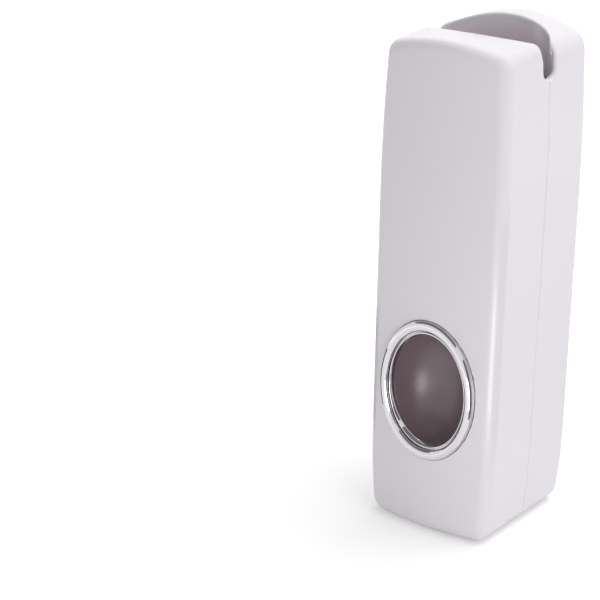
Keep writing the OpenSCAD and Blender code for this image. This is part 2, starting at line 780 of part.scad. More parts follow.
// A one-way valve: a flange and a flattened bill with a slit, pointing down from z = 0
module bill_valve(flange_r, flange_t, bill_r, bill_l)
    difference() {
        union() {
            translate([0, 0, -flange_t]) cylinder(r = flange_r, h = flange_t);
            translate([0, 0, -flange_t - bill_l]) cylinder(r1 = bill_r * 0.6, r2 = bill_r, h = bill_l);
        }
        translate([0, 0, -flange_t - bill_l * 0.7])
            cylinder(r1 = bill_r * 0.3, r2 = bill_r * 0.7, h = 4 * bill_l);
        translate([-bill_r * 0.4, -0.1, -flange_t - bill_l - over]) cube([bill_r * 0.8, 0.2, bill_l]);
    }

module outlet_valve() color("tomato") seated()
    translate([0, nozzle_y, barrel_end]) bill_valve(valve_r, valve_flange, outlet_bill[0], outlet_bill[1]);

module inlet_valve() color("tomato") seated()
    translate([0, seat_y, neck_z])
        bill_valve(neck_d / 2 - 1.5 - seat_fit, inlet_flange, inlet_bill[0], inlet_bill[1]);

// Soft seat: funnel and bore for the tube's neck, a flange on the carrier and an elbow to the hose
module tube_seat() color([0.75, 0.78, 0.8]) seated()
    difference() {
        union() {
            translate([0, seat_y, elbow_z]) sphere(seat_ball);
            translate([0, seat_y, elbow_z]) cylinder(r = seat_ball + 0.8, h = carrier_z - elbow_z + 1);
            translate([0, seat_y, carrier_z]) cylinder(r = body_r, h = neck_z + neck_l - carrier_z);
            translate([0, seat_y, flange_z]) cylinder(r = flange_r, h = flange_t);
            translate([0, seat_y, neck_z + neck_l - flare_l])
                cylinder(r1 = body_r, r2 = funnel_r, h = seat_top - neck_z - neck_l + flare_l);
            along_hose()
                translate([0, 0, hose_hi - spigot_l]) cylinder(r = spigot_r, h = hose_l - hose_hi + spigot_l);
            along_hose()
                translate([0, 0, hose_hi + 0.2]) cylinder(r = hose_r, h = 2);
        }
        along_hose()
            translate([0, 0, hose_hi - spigot_l - over])
                cylinder(r = bore_r, h = hose_l - hose_hi + spigot_l + over);
        translate([0, seat_y, elbow_z - 1.6]) cylinder(r = bore_r + 0.6, h = neck_z - elbow_z);
        translate([0, seat_y, neck_z - 1.6]) cylinder(r = neck_d / 2 - 1.5, h = 1.6 + eps);
        translate([0, seat_y, neck_z]) cylinder(r = neck_d / 2, h = neck_l + eps);
        translate([0, seat_y, neck_z + neck_l])
            cylinder(r1 = neck_d / 2, r2 = funnel_r - 1.2, h = seat_top - neck_z - neck_l + eps);
        seat_screw_places() cylinder(r = screw_d / 2 + 0.1, h = seat_stack + over);
    }

// Clamp ring over the seat's flange
module seat_ring() color("lightgray") seated()
    difference() {
        translate([0, seat_y, flange_z + flange_t]) cylinder(r = flange_r, h = clamp_t);
        translate([0, seat_y, flange_z]) cylinder(r = body_r + 0.4, h = flange_t + clamp_t + over);
        seat_screw_places() cylinder(r = screw_d / 2 + 0.1, h = seat_stack + over);
    }

module seat_screws() color("silver") seated()
    seat_screw_places() {
        translate([0, 0, 0.2]) cylinder(r = screw_d / 2 - 0.1, h = seat_stack);
        translate([0, 0, seat_stack]) cylinder(r = head_d / 2 - 0.4, h = 1.4);
    }

module shell_screws() color("silver") seated() {
    screw_holes(seam_y - screw_bite, tunnel_y + eps, screw_d / 2);
    screw_holes(tunnel_y, tunnel_y + 1.8, head_d / 2);
}

// Plate that is stuck to the wall, with two pairs of tabs behind the housing's rails
module wall_plate() color("gainsboro") seated()
    difference() {
        union() {
            translate([-hook_half, hook_front, hook_z]) cube([hook_w, hook_t, hook_h]);
            for (z = rail_zs)
                translate([-hook_half - tab_w, hook_front, z]) cube([hook_w + 2 * tab_w, tab_t, hook_tab]);
        }
        // Hollow that saves material, as such plates have
        translate([-hollow_w / 2, hook_front - over, hook_z + (hook_h - hollow_h) / 2])
            cube([hollow_w, 1.6 + over, hollow_h]);
    }

module adhesive_pad() color("darkseagreen") seated()
    translate([-hook_half + pad_side, hook_front + hook_t, hook_z + pad_end])
        cube([hook_w - 2 * pad_side, pad_t, hook_h - 2 * pad_end]);

front_shell();
back_shell();
bezel_ring();
push_cup();
cup_screw();
lever_arm();
press_pad();
lever_pin();
pin_clips();
hub_washers();
return_spring();
lever_bumper();
pump_frame();
frame_screws();
squeeze_tube();
hose_clips();
nozzle();
nozzle_tip();
outlet_valve();
inlet_valve();
tube_seat();
seat_ring();
seat_screws();
shell_screws();
wall_plate();
adhesive_pad();
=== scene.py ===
# Toothpaste dispenser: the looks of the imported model.
# Metres, +Z up, front towards -Y, origin at the middle of the foot.
# The housing's shells, the ring and the cup get smooth skins. Their forms are written in millimetres,
# in a frame where y runs from 0 at the housing's front corners, and are moved as they are made.
import json
import math

import bpy
import numpy as np
import openvdb
from mathutils import Matrix, Vector


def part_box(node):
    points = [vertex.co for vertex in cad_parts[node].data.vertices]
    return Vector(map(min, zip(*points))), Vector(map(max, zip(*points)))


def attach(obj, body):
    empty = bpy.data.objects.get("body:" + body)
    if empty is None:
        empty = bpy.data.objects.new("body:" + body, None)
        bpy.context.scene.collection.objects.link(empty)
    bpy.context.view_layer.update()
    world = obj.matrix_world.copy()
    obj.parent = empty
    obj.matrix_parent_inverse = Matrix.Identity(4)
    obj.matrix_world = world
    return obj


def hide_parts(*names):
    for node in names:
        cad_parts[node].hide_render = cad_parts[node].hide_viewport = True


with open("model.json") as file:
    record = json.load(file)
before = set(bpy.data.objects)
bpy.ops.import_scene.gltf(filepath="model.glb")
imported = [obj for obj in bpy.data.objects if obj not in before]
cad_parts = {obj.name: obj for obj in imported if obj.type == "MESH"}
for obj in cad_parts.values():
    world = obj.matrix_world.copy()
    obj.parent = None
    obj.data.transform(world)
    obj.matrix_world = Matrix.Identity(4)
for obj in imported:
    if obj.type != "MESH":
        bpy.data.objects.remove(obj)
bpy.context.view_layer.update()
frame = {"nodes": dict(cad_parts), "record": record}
nodes = frame["nodes"]
MM = 0.001


TINY = 1e-6

# How far a cut or a root reaches past a face
OVER = 1.0

# Sizes of the housing
HOUSING_W = 54.0
HOUSING_D = 54.4
HOUSING_H = 179.9
WALL = 2.4
FLOOR_T = 2.6
DECK_T = 2.6
FRONT_BOW = 3.1
SEAM_Y = 27.4
DOME_H = 4.8
DECK_RISE = 3.2
BACK_LIFT = 0.6
BACK_DOME = 7.2
DOME_X = HOUSING_W / 2 - 1
DRAW_TOP = 2.0
DRAW_FOOT = 2.2
STRAIGHT_LO = 32.0
STRAIGHT_HI = 127.0
EDGE_R = 4.0
RIM_R = 3.8
FOOT_R = 6.0
SEAM_R = 0.5
CAVITY_R = 0.4
CAVITY_FOOT_R = 3.6
Y_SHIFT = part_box("back_shell")[1][1] / MM - HOUSING_D

# Slots and opening
DECK_D = 23.3
SLOT_W = 8.4
SLOT_R = 3.2
SLOT_Y = DECK_D + SLOT_W / 2
SLOT_FLOOR = HOUSING_H - 9.9
SLOT_EDGE = 0.6
LIP_R = 2.5
BLOCK_R = 1.6
BACK_EDGE = 1.3
RECESS_D = 2.2
LIP_T = 2.2
RECESS_FOOT = SLOT_FLOOR - 3
RECESS_R = 0.5
LIP_FROM = HOUSING_H - 3.4
LIP_RUN = 4.0
MOUTH_RX = 22.8
MOUTH_RY = 15.4
MOUTH_Y = 26.0
MOUTH_SQUARE = 2.35
MOUTH_EDGE = 0.9
COLLAR_T = 1.8
COLLAR_Z = SLOT_FLOOR - 2
# Painted light: below these depths under the outer surface, the hollows turn a lighter mauve-grey that stands
# in for the light and shade inside. The tint fades out towards the back wall near the last value, in y.
HOLLOW_PAINT_FROM = 2.3
HOLLOW_PAINT_TO = 2.8
HOLLOW_PAINT_Y = 45.0

# Port, ring and cup
PORT_Z = 56.3
RING_RZ = 27.0
RING_RATIO = 0.736
RING_BAND = 4.1
RING_GROOVE = 0.4
RING_LIP = 1.4
RING_CREST = 3.9
RING_RISE = 1.7
RING_SEAT_Y = -0.8
RING_GROOVE_H = 1.2
LIP_FOLD_R = 0.35
LIP_FOLD_H = 2.0
LIP_FOOT_R = 0.3
LIP_FOOT_H = 0.5
LIP_TURN = 140
LIP_FOOT_TURN = 200
RING_SHARP = math.radians(40)
SEAT_FLANGE = 1.2
SEAT_BACK = RING_SEAT_Y + 2.4
BORE_RZ = RING_RZ - 2.2
BORE_EDGE = 0.15
SEAT_EDGE = 0.3
SPIGOT_T = 0.8
SPIGOT_L = 2.2
FIT = 0.1
CUP_RZ = 21.5
CUP_DEPTH = 15.4
CUP_T = 1.6
CUP_EDGE = 0.5
CUP_BOSS_R = 4.0
CUP_BOSS_H = 0.2
CUP_BORE_L = 0.8
CUP_Y = RING_SEAT_Y + 0.4
CUP_BACK = CUP_Y + CUP_DEPTH + CUP_T

# Fasteners and fittings inside the shells
SCREW_R = 1.2
SCREW_X = 21.3
SCREW_ZS = (15.4, 106.4)
SCREW_FIT = 0.05
BOSS_R = SCREW_R + 2.4
THREAD_L = 12.0
SHANK_GAP = 0.3
TUNNEL_R = 2.9
TUNNEL_Y = SEAM_Y + 4
TUNNEL_WALL = 1.2
EAR_X = 19.4
EAR_ZS = (93.6, 125.49)
EAR_R = SCREW_R + 2
EAR_BACK = 6.0
EAR_BORE = (1.4, EAR_BACK + OVER)
NOZZLE_Y = 6.6
TIP_Z = 77.4
NOTCH_FOOT = TIP_Z - 10
NOTCH_R = 3.0
NOTCH_FLARE = 0.2
NOTCH_STEEP = 0.98
NOTCH_EDGE = 0.4
TAB_ZS = (46.4, 142.4)
TAB_H = 12.0
TAB_T = 1.8
TAB_FIT = 0.3
TAB_REACH = 4.0
HOOK_FRONT = HOUSING_D - 2.8
POCKET_Y = HOOK_FRONT - 0.3
POCKET_HALF = 15.4
POCKET_LO = 55.8
POCKET_HI = 128.4
POCKET_WALL = 2.0
POCKET_EDGE = 0.2
BACK_INSIDE = HOUSING_D - 1.2
RAIL_T = 1.5
RAIL_Y = HOOK_FRONT + 1.6
RAIL_H = 16.0
RAIL_ZS = (74.4, 110.4)


# Fields of signed distance: negative inside
def both(a, b, r=0.0):
    """What lies in a and in b, with its edge rounded by r."""
    return np.minimum(np.maximum(a, b), -r) + np.hypot(np.maximum(a + r, 0), np.maximum(b + r, 0))


def less(a, b, r=0.0):
    """What lies in a and not in b, with its edge rounded by r."""
    return both(a, -b, r)


def between(v, lo, hi):
    return np.abs(v - (lo + hi) / 2) - (hi - lo) / 2


def block(x, y, z, xs, ys, zs):
    return np.maximum(between(x, *xs), np.maximum(between(y, *ys), between(z, *zs)))


def post(x, y, z, place_x, place_z, r, ys):
    """A pair of round posts along y, left and right."""
    return np.maximum(np.hypot(np.abs(x) - place_x, z - place_z) - r, between(y, *ys))


def oval(u, v, ru, rv, n=2.0):
    """Distance to an ellipse, exact to first order. With n above 2 its corners are fuller."""
    a = np.abs(u / ru)
    b = np.abs(v / rv)
    k = np.maximum((a**n + b**n) ** (1 / n), TINY)
    steep = np.hypot(a ** (n - 1) / ru, b ** (n - 1) / rv) * k ** (1 - n)
    return (k - 1) / np.maximum(steep, TINY)


def port(x, z, rz):
    return oval(x, z - PORT_Z, rz * RING_RATIO, rz)


def ellipsoid(x, y, z, radii):
    k = np.sqrt((x / radii[0]) ** 2 + (y / radii[1]) ** 2 + (z / radii[2]) ** 2)
    steep = np.sqrt((x / radii[0] ** 2) ** 2 + (y / radii[1] ** 2) ** 2 + (z / radii[2] ** 2) ** 2)
    return (k - 1) * k / np.maximum(steep, TINY)


def half_w(z):
    low = np.clip((STRAIGHT_LO - z) / STRAIGHT_LO, 0, 1)
    high = np.clip((z - STRAIGHT_HI) / (HOUSING_H - STRAIGHT_HI), 0, 1)
    return HOUSING_W / 2 - DRAW_FOOT * low**2 - DRAW_TOP * high**2


def below_deck(front, x, y, z, drop):
    dome = 1 - (x / DOME_X) ** 2
    dome_slope = -2 * x / DOME_X**2
    if front:
        share = y / DECK_D
        top = HOUSING_H + DOME_H * dome * (1 - share) + DECK_RISE * share
        slope_x = DOME_H * (1 - share) * dome_slope
        slope_y = (DECK_RISE - DOME_H * dome) / DECK_D
    else:
        top = HOUSING_H + BACK_LIFT + BACK_DOME * dome
        slope_x = BACK_DOME * dome_slope
        slope_y = 0
    return (z - top + drop) / np.sqrt(1 + slope_x**2 + slope_y**2)


def half_solid(front, x, y, z, inset, floor, drop, edge_r, rim_r, foot_r):
    a = half_w(z)
    side = np.abs(x) - a + inset
    if front:
        slope = 2 * FRONT_BOW * x / a**2
        face = (-y - FRONT_BOW * (1 - (x / a) ** 2)) / np.sqrt(1 + slope**2) + inset
    else:
        face = y - HOUSING_D + inset
    body = both(both(side, face, edge_r), below_deck(front, x, y, z, drop), rim_r)
    return both(body, floor - z, foot_r)


def outer_half(front, x, y, z):
    return half_solid(front, x, y, z, 0, 0, 0, EDGE_R, RIM_R, FOOT_R)


def front_body(x, y, z):
    return outer_half(True, x, y, z)


def back_body(x, y, z):
    return outer_half(False, x, y, z)


def inner_half(front, x, y, z):
    return half_solid(front, x, y, z, WALL, FLOOR_T, DECK_T, EDGE_R - WALL, RIM_R - WALL, CAVITY_FOOT_R)


def slot_field(y, z):
    """The slots for the tube's flat end, open at the top and rounded in their lower corners."""
    beside = np.abs(y - SLOT_Y) - SLOT_W / 2 + SLOT_R
    under = SLOT_FLOOR + SLOT_R - z
    outside = np.hypot(np.maximum(beside, 0), np.maximum(under, 0))
    return outside + np.minimum(np.maximum(beside, under), 0) - SLOT_R


def edge_rounding(z, side_r, top_r):
    """Rounding of the slots' edges: side_r down the sides, and top_r where they turn into the deck."""
    return side_r + (top_r - side_r) * np.clip((z - LIP_FROM) / LIP_RUN, 0, 1)


def front_field(x, y, z):
    outer = less(outer_half(True, x, y, z), slot_field(y, z), edge_rounding(z, SLOT_EDGE, LIP_R))
    outer = both(outer, y - SEAM_Y, SEAM_R)
    shell = less(outer, inner_half(True, x, y, z), CAVITY_R)
    seat_y = between(y, RING_SEAT_Y - FIT, SEAT_BACK)
    seat = both(port(x, z, RING_RZ + SEAT_FLANGE), seat_y, SEAT_EDGE)
    shell = np.minimum(shell, seat)
    for place_z in SCREW_ZS:
        shell = np.minimum(shell, post(x, y, z, SCREW_X, place_z, BOSS_R, (WALL - OVER, SEAM_Y)))
    for place_z in EAR_ZS:
        shell = np.minimum(shell, post(x, y, z, EAR_X, place_z, EAR_R, (WALL - 2 * OVER, EAR_BACK)))
    shell = less(shell, both(port(x, z, RING_RZ + FIT), y - RING_SEAT_Y), BORE_EDGE)
    shell = less(shell, port(x, z, BORE_RZ), BORE_EDGE)
    for place_z in SCREW_ZS:
        thread = (SEAM_Y - THREAD_L, SEAM_Y + OVER)
        shell = less(shell, post(x, y, z, SCREW_X, place_z, SCREW_R + SCREW_FIT, thread))
    for place_z in EAR_ZS:
        shell = less(shell, post(x, y, z, EAR_X, place_z, SCREW_R + SCREW_FIT, EAR_BORE))
    return shell


def back_field(x, y, z):
    outer = outer_half(False, x, y, z)
    shell = less(both(outer, SEAM_Y - y, SEAM_R), inner_half(False, x, y, z), CAVITY_R)
    wide = (-POCKET_HALF - POCKET_WALL, POCKET_HALF + POCKET_WALL)
    tall = (POCKET_LO - POCKET_WALL, POCKET_HI + POCKET_WALL)
    thick = block(x, y, z, wide, (POCKET_Y - POCKET_WALL, BACK_INSIDE), tall)
    shell = np.minimum(shell, thick)
    for place_z in SCREW_ZS:
        tunnel = post(x, y, z, SCREW_X, place_z, TUNNEL_R + TUNNEL_WALL, (SEAM_Y, BACK_INSIDE))
        shell = np.minimum(shell, tunnel)
    rim = oval(x, y - MOUTH_Y, MOUTH_RX + COLLAR_T, MOUTH_RY + COLLAR_T, MOUTH_SQUARE)
    collar = np.maximum(both(outer, SEAM_Y - y, SEAM_R), np.maximum(rim, COLLAR_Z - z))
    shell = np.minimum(shell, collar)
    for tab_z in TAB_ZS:
        tall = (tab_z, tab_z + TAB_H)
        inner = float(half_w(np.array(tall)).min()) - WALL - TAB_FIT
        over_seam = block(
            np.abs(x), y, z, (inner - TAB_T, inner), (SEAM_Y - TAB_REACH, SEAM_Y + TAB_REACH), tall
        )
        root = block(np.abs(x), y, z, (inner - TAB_T, inner + OVER), (SEAM_Y, SEAM_Y + TAB_REACH), tall)
        shell = np.minimum(shell, np.minimum(over_seam, root))
    deep = (POCKET_Y, HOUSING_D + 2 * OVER)
    pocket = block(x, y, z, (-POCKET_HALF, POCKET_HALF), deep, (POCKET_LO, POCKET_HI))
    for rail_z in RAIL_ZS:
        edge = (POCKET_HALF - RAIL_T, POCKET_HALF + OVER)
        rail = block(np.abs(x), y, z, edge, (RAIL_Y, HOUSING_D + 3 * OVER), (rail_z, rail_z + RAIL_H))
        pocket = np.maximum(pocket, -rail)
    shell = less(shell, pocket, POCKET_EDGE)
    for place_z in SCREW_ZS:
        tunnel = post(x, y, z, SCREW_X, place_z, TUNNEL_R, (TUNNEL_Y, HOUSING_D + OVER))
        shell = less(shell, tunnel, SEAT_EDGE)
        shank = post(x, y, z, SCREW_X, place_z, SCREW_R + SHANK_GAP, (SEAM_Y - OVER, TUNNEL_Y + OVER))
        shell = less(shell, shank)
    mouth = np.maximum(oval(x, y - MOUTH_Y, MOUTH_RX, MOUTH_RY, MOUTH_SQUARE), COLLAR_Z - OVER - z)
    shell = less(shell, slot_field(y, z), edge_rounding(z, BACK_EDGE, BLOCK_R))
    beside = np.abs(x) - half_w(z) + WALL
    recess = np.maximum(beside, y - SLOT_Y - SLOT_W / 2 - RECESS_D)
    recess = both(recess, between(z, RECESS_FOOT, HOUSING_H - LIP_T), RECESS_R)
    shell = less(shell, recess, SEAT_EDGE)
    return less(shell, mouth, MOUTH_EDGE)


def cup_field(x, y, z):
    outer_rz = CUP_RZ + CUP_T
    outer = ellipsoid(x, y - CUP_Y, z - PORT_Z, (outer_rz * RING_RATIO, CUP_DEPTH + CUP_T, outer_rz))
    inner = ellipsoid(x, y - CUP_Y, z - PORT_Z, (CUP_RZ * RING_RATIO, CUP_DEPTH, CUP_RZ))
    bowl = less(both(outer, CUP_Y - y, CUP_EDGE), inner, CUP_EDGE)
    from_middle = np.hypot(x, z - PORT_Z)
    boss = np.maximum(from_middle - CUP_BOSS_R, between(y, CUP_BACK - OVER, CUP_BACK + CUP_BOSS_H))
    bowl = np.minimum(bowl, boss)
    notch = np.hypot(x, y - NOZZLE_Y) - NOTCH_R - NOTCH_FLARE * (z - NOTCH_FOOT)
    notch = notch * NOTCH_STEEP
    bowl = less(bowl, np.maximum(notch, NOTCH_FOOT - z), NOTCH_EDGE)
    bore = np.maximum(from_middle - SCREW_R - SCREW_FIT, CUP_BACK - CUP_BORE_L - y)
    return less(bowl, bore)


# Skins
FIELD_REACH = 2.0
SLOPE_STEP = 0.02
PULLS = 3
PULL_MAX = 0.4
STEEP_MIN = 0.25
MARGIN = 0.9


def stops(*runs):
    """Grid lines along an axis, from runs of (start, end, step)."""
    lines = [np.arange(start, end, step) for start, end, step in runs]
    return np.concatenate(lines + [np.array([runs[-1][1]])])


def mirrored(lines):
    return np.concatenate([-lines[:0:-1], lines])


def slope_at(field, p):
    """The field and its slope at points."""
    slope = []
    for step in np.eye(3) * SLOPE_STEP:
        ahead = field(*(p + step).T)
        behind = field(*(p - step).T)
        slope.append((ahead - behind) / (2 * SLOPE_STEP))
    return field(*p.T), np.stack(slope, axis=1)


def skin(name, field, body, xs, ys, zs):
    """The field's surface as a mesh, found on the grid and then moved onto the exact form.
    Its attribute "inside" grows with the depth below the closed body's surface, short of the back wall, and
    carries the painted light of the hollows."""
    values = field(xs[:, None, None], ys[None, :, None], zs[None, None, :])
    grid = openvdb.FloatGrid(FIELD_REACH)
    grid.copyFromArray(np.clip(values, -FIELD_REACH, FIELD_REACH).astype(np.float32))
    points, tris, quads = grid.convertToPolygons(0.0, 0.0)
    axes = enumerate((xs, ys, zs))
    p = np.stack([np.interp(points[:, i], np.arange(len(lines)), lines) for i, lines in axes], axis=1)
    for _ in range(PULLS):
        value, slope = slope_at(field, p)
        steep = np.maximum((slope**2).sum(axis=1), STEEP_MIN)
        p -= np.clip(value / steep, -PULL_MAX, PULL_MAX)[:, None] * slope
    value, slope = slope_at(field, p)
    normals = slope / np.maximum(np.linalg.norm(slope, axis=1), TINY)[:, None]
    corner = p[quads[:, :3]]
    across = np.cross(corner[:, 1] - corner[:, 0], corner[:, 2] - corner[:, 0])
    if (across * normals[quads[:, 0]]).sum() < 0:
        quads = quads[:, ::-1]
        tris = tris[:, ::-1]
    mesh = bpy.data.meshes.new(name)
    mesh.from_pydata((p + (0, Y_SHIFT, 0)) * MM, [], quads.tolist() + tris.tolist())
    mesh.shade_smooth()
    mesh.normals_split_custom_set_from_vertices(normals)
    # Painted light: the share by which the hollows' colour turns to the lighter mauve-grey
    depth = np.clip((-body(*p.T) - HOLLOW_PAINT_FROM) / (HOLLOW_PAINT_TO - HOLLOW_PAINT_FROM), 0, 1)
    depth *= np.clip(HOLLOW_PAINT_Y - p[:, 1], 0, 1)
    mesh.attributes.new("inside", "FLOAT", "POINT").data.foreach_set("value", depth.astype(np.float32))
    return add(name, mesh)


def add(name, mesh):
    obj = bpy.data.objects.new(name, mesh)
    bpy.context.scene.collection.objects.link(obj)
    return obj


def arc(middle, radii, start, end, steps):
    """Points of an arc as (radius, height)."""
    angles = [math.radians(start + (end - start) * k / steps) for k in range(steps + 1)]
    return [(middle[0] + radii[0] * math.cos(a), middle[1] + radii[1] * math.sin(a)) for a in angles]


def ring_profile():
    """The ring's section: convex band, groove, lip that slopes inwards, and a spigot for the bore."""
    band_in = RING_RZ - RING_BAND
    lip_out = band_in - RING_GROOVE
    lip_in = lip_out - RING_LIP
    spigot_out = BORE_RZ - FIT
    shoulder = RING_CREST - RING_RISE
    return (
        [(RING_RZ, 0)]
        + arc((RING_RZ - RING_BAND / 2, shoulder), (RING_BAND / 2, RING_RISE), 0, 180, 16)
        + [(band_in, RING_GROOVE_H), (lip_out, RING_GROOVE_H)]
        + arc((lip_out - LIP_FOLD_R, LIP_FOLD_H), (LIP_FOLD_R, LIP_FOLD_R), 0, LIP_TURN, 6)
        + arc((lip_in + LIP_FOOT_R, LIP_FOOT_H), (LIP_FOOT_R, LIP_FOOT_R), LIP_TURN, LIP_FOOT_TURN, 3)
        + [(lip_in, 0), (spigot_out - SPIGOT_T, 0), (spigot_out - SPIGOT_T, -SPIGOT_L)]
        + [(spigot_out, -SPIGOT_L), (spigot_out, 0)]
    )


def swept_ring(name, profile, steps):
    """The profile swept round the port's oval."""
    points = []
    for k in range(steps):
        turn = 2 * math.pi * k / steps
        for r, h in profile:
            across = RING_RATIO * r * math.cos(turn)
            place = Vector((across, RING_SEAT_Y - h + Y_SHIFT, PORT_Z + r * math.sin(turn)))
            points.append(place * MM)
    n = len(profile)
    faces = []
    for k in range(steps):
        for j in range(n):
            after = (k + 1) % steps
            faces.append((k * n + j, k * n + (j + 1) % n, after * n + (j + 1) % n, after * n + j))
    mesh = bpy.data.meshes.new(name)
    mesh.from_pydata(points, [], faces)
    mesh.shade_smooth()
    mesh.set_sharp_from_angle(angle=RING_SHARP)
    return add(name, mesh)


# Runs of the grids as (start, end, step), fine where edges are rounded and coarse along plain walls
HALF_X = ((0, 20.5, 0.5), (20.5, HOUSING_W / 2 + 0.7, 0.3))
FRONT_Y = ((-FRONT_BOW - 1.3, 5, 0.35), (5, 18, 1.0), (18, SEAM_Y + 1, 0.3))
FRONT_Z = ((-MARGIN, 8, 0.5), (8, 28, 2.0), (28, 85, 0.5), (85, 165, 2.0), (165, 188.4, 0.3))
BACK_Y = ((22.6, 42, 0.35), (42, 48, 1.0), (48, 55.2, 0.3))
BACK_Z = ((-MARGIN, 8, 0.5), (8, 50, 1.0), (50, 132, 0.8), (132, 166, 1.0), (166, 188.6, 0.3))
CUP_HALF_X = (0, 18, 0.4)
CUP_GRID_Y = (-1.2, 18, 0.4)
CUP_GRID_Z = (PORT_Z - 24, PORT_Z + 24, 0.4)
RING_STEPS = 160

side_lines = mirrored(stops(*HALF_X))
front_skin = skin(
    "front_skin", front_field, front_body, side_lines, stops(*FRONT_Y), stops(*FRONT_Z)
)
back_skin = skin("back_skin", back_field, back_body, side_lines, stops(*BACK_Y), stops(*BACK_Z))
cup_lines = mirrored(stops(CUP_HALF_X))
cup_skin = skin("cup_skin", cup_field, cup_field, cup_lines, stops(CUP_GRID_Y), stops(CUP_GRID_Z))
ring_skin = swept_ring("ring_skin", ring_profile(), RING_STEPS)

SKINS = {
    "front_shell": (front_skin, "housing"),
    "back_shell": (back_skin, "housing"),
    "bezel_ring": (ring_skin, "housing"),
    "push_cup": (cup_skin, "push_lever"),
}

# Camera, from the perspective of the housing's edges
LENS = 107.95
SENSOR = 36
CLIP_START = 0.01
CAM_PLACE = (0.3318, -0.53165, 0.3099)
CAM_RIGHT = (0.7871, 0.6166, 0.0142)
CAM_FORWARD = (-0.5755, 0.7426, -0.3425)
scene = bpy.context.scene
cam_data = bpy.data.cameras.new("camera")
cam_data.lens = LENS
cam_data.sensor_width = SENSOR
cam_data.clip_start = CLIP_START
cam = bpy.data.objects.new("camera", cam_data)
scene.collection.objects.link(cam)
scene.camera = cam
right = Vector(CAM_RIGHT).normalized()
forward = Vector(CAM_FORWARD).normalized()
up = right.cross(forward).normalized()
right = forward.cross(up).normalized()
turn = Matrix((right, up, -forward)).transposed()
cam.matrix_world = Matrix.Translation(CAM_PLACE) @ turn.to_4x4()


# Materials
RAMP = (0.3, 0.7)
GRAIN = 25
BUMP_DEPTH = 0.0001
# A mix node has sockets for each kind of value, and these are the ones for colours
MIX_SHARE = 0
MIX_FROM = 6
MIX_TO = 7
MIX_OUT = 2
FLAT_EDGE = math.radians(28)


def new_material(name):
    mat = bpy.data.materials.new(name)
    mat.use_nodes = True
    tree = mat.node_tree
    shader = tree.nodes["Principled BSDF"]
    return mat, tree, shader


def finish_material(name, dark, light, rough, scale=60, bump=0.05, spread=0.04, **sockets):
    """A material whose colour and roughness wander a little with noise, with a fine bump."""
    mat, tree, shader = new_material(name)
    coords = tree.nodes.new("ShaderNodeTexCoord")
    noise = tree.nodes.new("ShaderNodeTexNoise")
    noise.inputs["Scale"].default_value = scale
    noise.inputs["Detail"].default_value = 3
    tree.links.new(coords.outputs["Object"], noise.inputs["Vector"])
    ramp = tree.nodes.new("ShaderNodeValToRGB")
    ramp.color_ramp.elements[0].position = RAMP[0]
    ramp.color_ramp.elements[0].color = (*dark, 1)
    ramp.color_ramp.elements[1].position = RAMP[1]
    ramp.color_ramp.elements[1].color = (*light, 1)
    tree.links.new(noise.outputs["Fac"], ramp.inputs["Fac"])
    tree.links.new(ramp.outputs["Color"], shader.inputs["Base Color"])
    spread_node = tree.nodes.new("ShaderNodeMapRange")
    spread_node.inputs["To Min"].default_value = max(rough - spread, 0.0)
    spread_node.inputs["To Max"].default_value = rough + spread
    tree.links.new(noise.outputs["Fac"], spread_node.inputs["Value"])
    tree.links.new(spread_node.outputs["Result"], shader.inputs["Roughness"])
    grain = tree.nodes.new("ShaderNodeTexNoise")
    grain.inputs["Scale"].default_value = scale * GRAIN
    tree.links.new(coords.outputs["Object"], grain.inputs["Vector"])
    bump_node = tree.nodes.new("ShaderNodeBump")
    bump_node.inputs["Strength"].default_value = bump
    bump_node.inputs["Distance"].default_value = BUMP_DEPTH
    tree.links.new(grain.outputs["Fac"], bump_node.inputs["Height"])
    tree.links.new(bump_node.outputs["Normal"], shader.inputs["Normal"])
    for key, value in sockets.items():
        shader.inputs[key.replace("_", " ")].default_value = value
    return mat


def paint_hollow_light(mat, color):
    """Painted light: turns the colour towards another one where the attribute "inside" says so, standing in
    for the light and shade in the hollows.
    """
    tree = mat.node_tree
    socket = tree.nodes["Principled BSDF"].inputs["Base Color"]
    outside = socket.links[0].from_socket
    depth = tree.nodes.new("ShaderNodeAttribute")
    depth.attribute_name = "inside"
    mix = tree.nodes.new("ShaderNodeMix")
    mix.data_type = "RGBA"
    tree.links.new(depth.outputs["Fac"], mix.inputs[MIX_SHARE])
    tree.links.new(outside, mix.inputs[MIX_FROM])
    mix.inputs[MIX_TO].default_value = (*color, 1)
    tree.links.new(mix.outputs[MIX_OUT], socket)


white = finish_material(
    "white_abs", (0.79, 0.757, 0.803), (0.802, 0.77, 0.816), rough=0.22, scale=20, bump=0.02, spread=0.02
)
# Painted light: the hollows get a lighter mauve-grey that stands in for the light and shade inside
paint_hollow_light(white, (0.9, 0.81, 0.86))
chrome = finish_material(
    "chrome_trim",
    (0.65, 0.63, 0.65),
    (0.67, 0.65, 0.67),
    rough=0.07,
    scale=40,
    bump=0.01,
    spread=0.02,
    Metallic=1.0,
)
smoke = finish_material(
    "smoke_cup",
    (0.202, 0.152, 0.172),
    (0.21, 0.16, 0.18),
    rough=0.32,
    scale=30,
    bump=0.02,
    spread=0.01,
    IOR=1.6,
)
inner = finish_material("inner_plastic", (0.6, 0.6, 0.62), (0.66, 0.66, 0.68), rough=0.42, scale=40, bump=0.1)
grey_soft = finish_material("grey_silicone", (0.24, 0.25, 0.27), (0.28, 0.29, 0.31), rough=0.6, bump=0.15)
clear_soft = finish_material(
    "clear_silicone",
    (0.66, 0.69, 0.72),
    (0.72, 0.75, 0.78),
    rough=0.35,
    bump=0.08,
    Transmission_Weight=0.35,
)
red_soft = finish_material("red_silicone", (0.45, 0.045, 0.03), (0.52, 0.06, 0.04), rough=0.55, bump=0.1)
